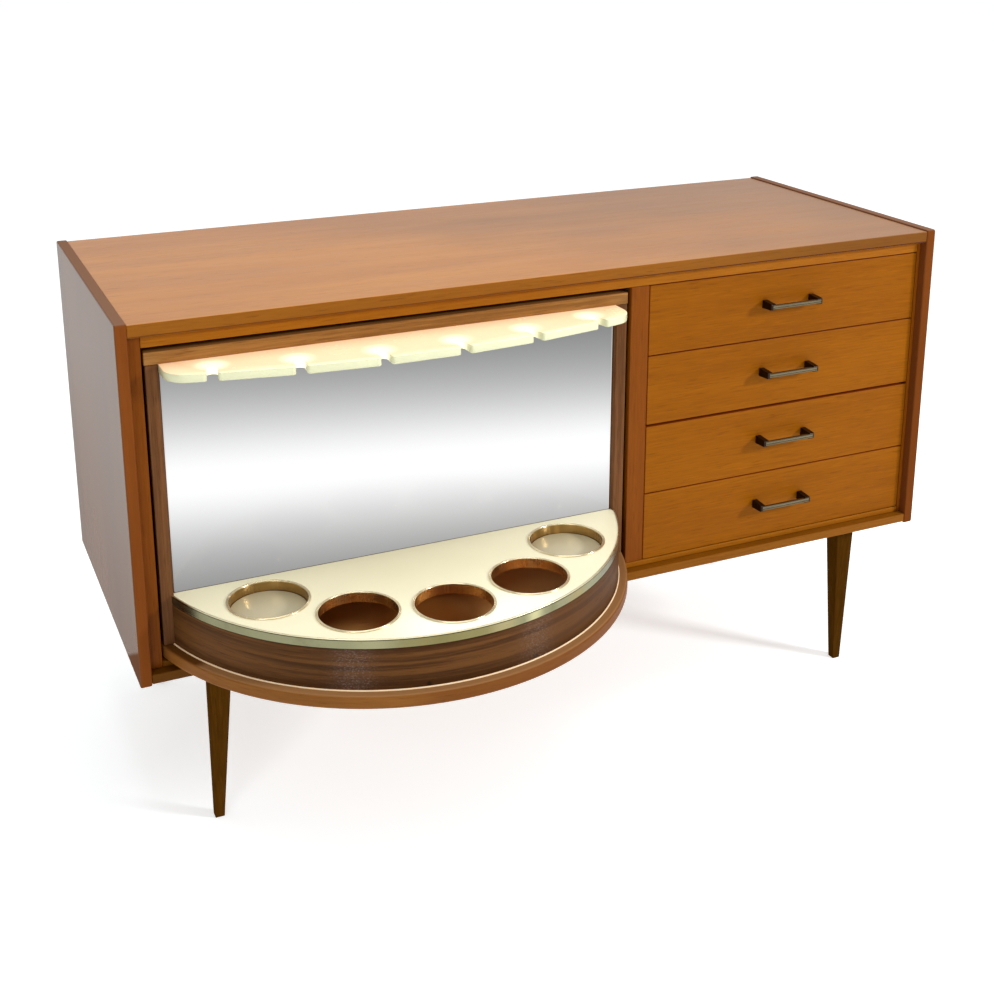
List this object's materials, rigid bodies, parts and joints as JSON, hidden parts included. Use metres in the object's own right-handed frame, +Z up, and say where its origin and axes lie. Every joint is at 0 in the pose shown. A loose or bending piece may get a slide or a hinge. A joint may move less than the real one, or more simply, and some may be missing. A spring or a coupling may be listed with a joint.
{
  "type": "bar sideboard",
  "caption": "Teak sideboard on tapered legs: drawers beside a turning drinks cabinet with a half-round bar, mirror and glass rack on its open face and a plain door behind.",
  "frame": {"origin": "on the floor, under the middle of the whole object's box at rest", "axes": "+X along the length to the drawers' side, +Y to the back, +Z up; the front faces -Y"},
  "size_m": [1.2, 0.6934, 0.7087],
  "materials": {
    "teak": "oiled teak veneer, straight grain",
    "teak_frame": "oiled teak",
    "teak_top": "satin teak veneer, fine grain",
    "walnut": "satin walnut veneer",
    "leg_wood": "dark stained wood",
    "beech": "plain beech",
    "hardboard": "plain hardboard",
    "cream_laminate": "cream laminate, satin",
    "cream_acrylic": "opal cream acrylic, lit from behind",
    "brass": "polished brass",
    "bronze": "dark bronzed brass",
    "silvered_glass": "silvered glass",
    "lamp_glass": "white lamp tube",
    "steel": "zinc-plated steel",
    "black_plastic": "black moulding"
  },
  "bodies": {
    "cabinet": {"side_panel_left": "teak_frame", "side_panel_right": "teak_frame", "top_board": "teak_top", "bottom_board": "teak_frame", "divider_panel": "beech", "back_panel": "hardboard", "face_stile_left": "teak_frame", "face_stile_middle": "teak_frame", "face_rail_top": "teak_frame", "face_rail_bottom": "teak_frame", "leg_front_left": "leg_wood", "leg_front_right": "leg_wood", "leg_back_left": "leg_wood", "leg_back_right": "leg_wood", "runner_rack_left": "teak_frame", "runner_rack_right": "teak_frame", "turntable_bearing": "steel", "pivot_tube": "steel", "cable_gland": "black_plastic"},
    "bar": {"bar_base": "teak_frame", "bar_side_left": "walnut", "bar_side_right": "walnut", "bar_top": "walnut", "bar_door": "teak", "bar_partition": "walnut", "bar_mirror": "silvered_glass", "bar_tray": "cream_laminate", "bar_edge_band": "brass", "bar_fascia": "walnut", "bottle_dish_1": "brass", "bottle_ring_2": "brass", "bottle_ring_3": "brass", "bottle_ring_4": "brass", "bottle_dish_5": "brass", "glass_rack": "cream_acrylic", "lamp_tube": "lamp_glass"},
    "drawer_1": {"drawer_1_front": "teak", "drawer_1_side_left": "beech", "drawer_1_side_right": "beech", "drawer_1_back": "beech", "drawer_1_bottom": "hardboard", "drawer_1_handle": "bronze"},
    "drawer_2": {"drawer_2_front": "teak", "drawer_2_side_left": "beech", "drawer_2_side_right": "beech", "drawer_2_back": "beech", "drawer_2_bottom": "hardboard", "drawer_2_handle": "bronze"},
    "drawer_3": {"drawer_3_front": "teak", "drawer_3_side_left": "beech", "drawer_3_side_right": "beech", "drawer_3_back": "beech", "drawer_3_bottom": "hardboard", "drawer_3_handle": "bronze"},
    "drawer_4": {"drawer_4_front": "teak", "drawer_4_side_left": "beech", "drawer_4_side_right": "beech", "drawer_4_back": "beech", "drawer_4_bottom": "hardboard", "drawer_4_handle": "bronze"}
  },
  "joints": [
    {"name": "bar_turn", "type": "hinge", "parent": "cabinet", "child": "bar", "pos_m": [-0.23823, -0.00575, 0.2625], "axis": [0, 0, 1], "range_deg": [0, 180]},
    {"name": "drawer_1_slide", "type": "slide", "parent": "cabinet", "child": "drawer_1", "axis": [0, -1, 0], "range_m": [0, 0.3]},
    {"name": "drawer_2_slide", "type": "slide", "parent": "cabinet", "child": "drawer_2", "axis": [0, -1, 0], "range_m": [0, 0.3]},
    {"name": "drawer_3_slide", "type": "slide", "parent": "cabinet", "child": "drawer_3", "axis": [0, -1, 0], "range_m": [0, 0.3]},
    {"name": "drawer_4_slide", "type": "slide", "parent": "cabinet", "child": "drawer_4", "axis": [0, -1, 0], "range_m": [0, 0.3]}
  ]
}
